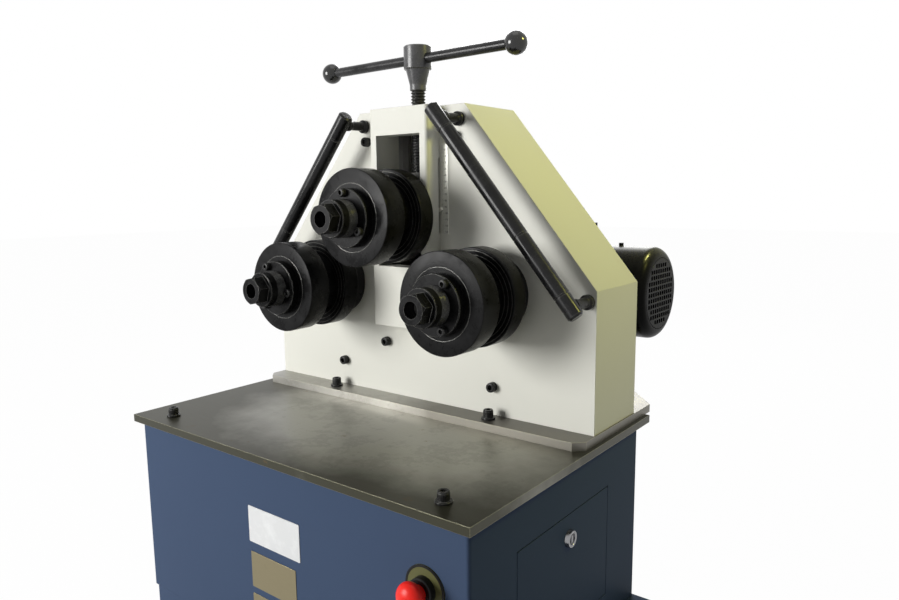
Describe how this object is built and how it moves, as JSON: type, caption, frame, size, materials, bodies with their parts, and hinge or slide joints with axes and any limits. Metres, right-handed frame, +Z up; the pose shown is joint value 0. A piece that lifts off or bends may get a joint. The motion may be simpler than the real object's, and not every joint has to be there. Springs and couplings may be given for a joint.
{
  "type": "powered ring roller",
  "caption": "Floor-standing powered ring roller: driven lower rollers, a screw-set upper roller in a gabled head, a ground table and a sheet-metal cabinet with a side door.",
  "frame": {"origin": "on the floor, at the centre of the cabinet's plan, in the underside of the plinth", "axes": "+X along the table to the operator's right, +Y from the rollers back to the motor, +Z up"},
  "size_m": [0.782, 0.6715, 1.001],
  "materials": {
    "blue_paint": "semi-gloss",
    "cream_paint": "semi-gloss",
    "ground_steel": "ground, oiled",
    "black_steel": "black oxide, satin",
    "bare_steel": "machined, oiled",
    "zinc_steel": "zinc plated",
    "chrome": "polished",
    "scale_metal": "satin",
    "pointer_brass": "satin",
    "bronze": "machined",
    "black_plastic": "gloss",
    "motor_black": "gloss",
    "gear_grey": "painted casting",
    "yellow_plastic": "satin",
    "red_plastic": "gloss"
  },
  "bodies": {
    "machine": {"base_plinth": "blue_paint", "cabinet_shell": "blue_paint", "table_plate": "ground_steel", "table_bolts": "black_steel", "base_flange": "ground_steel", "door_hinge": "zinc_steel", "head_shell": "cream_paint", "head_rear_plate": "cream_paint", "head_screws": "black_steel", "slide_box": "cream_paint", "guide_rails": "bare_steel", "shaft_bearings": "bare_steel", "bearing_caps": "black_steel", "ruler_scale": "scale_metal", "left_guide_bar": "black_steel", "right_guide_bar": "black_steel", "bar_posts": "black_steel", "spindle_nut": "bronze", "gearbox_housing": "gear_grey", "motor_body": "motor_black", "fan_cover": "motor_black", "fan_grille": "motor_black", "terminal_box": "motor_black", "stop_legend": "yellow_plastic", "stop_body": "black_plastic", "electrics_panel": "zinc_steel", "switchgear": "black_plastic", "cable_gland": "black_plastic"},
    "left_roller": {"left_shaft": "bare_steel", "left_roller_discs": "black_steel", "left_roller_spacer": "black_steel", "left_clamp_collar": "black_steel", "left_collar_screws": "black_steel", "left_clamp_nut": "black_steel", "left_gear": "bare_steel"},
    "right_roller": {"right_shaft": "bare_steel", "right_roller_discs": "black_steel", "right_roller_spacer": "black_steel", "right_clamp_collar": "black_steel", "right_collar_screws": "black_steel", "right_clamp_nut": "black_steel", "right_gear": "bare_steel"},
    "upper_slide": {"slide_block": "bare_steel", "slide_bearings": "bare_steel", "scale_pointer": "pointer_brass"},
    "upper_roller": {"upper_shaft": "bare_steel", "upper_roller_discs": "black_steel", "upper_roller_spacer": "black_steel", "upper_clamp_collar": "black_steel", "upper_collar_screws": "black_steel", "upper_clamp_nut": "black_steel"},
    "spindle": {"spindle_screw": "black_steel", "handle_hub": "black_steel"},
    "handle_bar": {"tommy_bar": "black_steel", "ball_knobs": "black_plastic"},
    "drive_pinion": {"drive_pinion": "bare_steel"},
    "motor_fan": {"motor_fan": "black_plastic"},
    "side_door": {"side_door": "blue_paint"},
    "door_lock": {"door_lock": "chrome"},
    "stop_button": {"stop_mushroom": "red_plastic"}
  },
  "joints": [
    {"name": "left_roller_turn", "type": "hinge", "parent": "machine", "child": "left_roller", "pos_m": [-0.17, 0, 0.609], "axis": [0, 1, 0], "continuous": true},
    {"name": "right_roller_turn", "type": "hinge", "parent": "machine", "child": "right_roller", "pos_m": [0.17, 0, 0.609], "axis": [0, 1, 0], "continuous": true},
    {"name": "drive_pinion_turn", "type": "hinge", "parent": "machine", "child": "drive_pinion", "pos_m": [0, 0, 0.50364], "axis": [0, 1, 0], "continuous": true},
    {"name": "motor_turn", "type": "hinge", "parent": "machine", "child": "motor_fan", "pos_m": [0, 0.318, 0.59364], "axis": [1, 0, 0], "continuous": true},
    {"name": "spindle_turn", "type": "hinge", "parent": "upper_slide", "child": "spindle", "pos_m": [0, 0.0988, 0.9], "axis": [0, 0, 1], "range_deg": [-2232, 5400]},
    {"name": "upper_slide_lift", "type": "slide", "parent": "machine", "child": "upper_slide", "axis": [0, 0, 1], "range_m": [-0.0312, 0.0752]},
    {"name": "upper_roller_turn", "type": "hinge", "parent": "upper_slide", "child": "upper_roller", "pos_m": [0, 0, 0.727], "axis": [0, 1, 0], "continuous": true},
    {"name": "handle_bar_slide", "type": "slide", "parent": "spindle", "child": "handle_bar", "axis": [0.9993, -0.0366, 0], "range_m": [-0.154, 0.169]},
    {"name": "side_door_swing", "type": "hinge", "parent": "machine", "child": "side_door", "pos_m": [0.345, 0, 0.132], "axis": [0, 1, 0], "range_deg": [0, 95]},
    {"name": "door_lock_turn", "type": "hinge", "parent": "side_door", "child": "door_lock", "pos_m": [0.341, 0.0035, 0.286], "axis": [1, 0, 0], "range_deg": [0, 90]},
    {"name": "stop_press", "type": "slide", "parent": "machine", "child": "stop_button", "axis": [0, 1, 0], "range_m": [0, 0.005]}
  ],
  "couplings": [
    {"joint": "right_roller_turn", "follows": "left_roller_turn", "ratio": 1},
    {"joint": "drive_pinion_turn", "follows": "left_roller_turn", "ratio": -1.7027},
    {"joint": "motor_turn", "follows": "left_roller_turn", "ratio": -102.16},
    {"joint": "upper_slide_lift", "follows": "spindle_turn", "m_per_rad": 0.00079577}
  ]
}
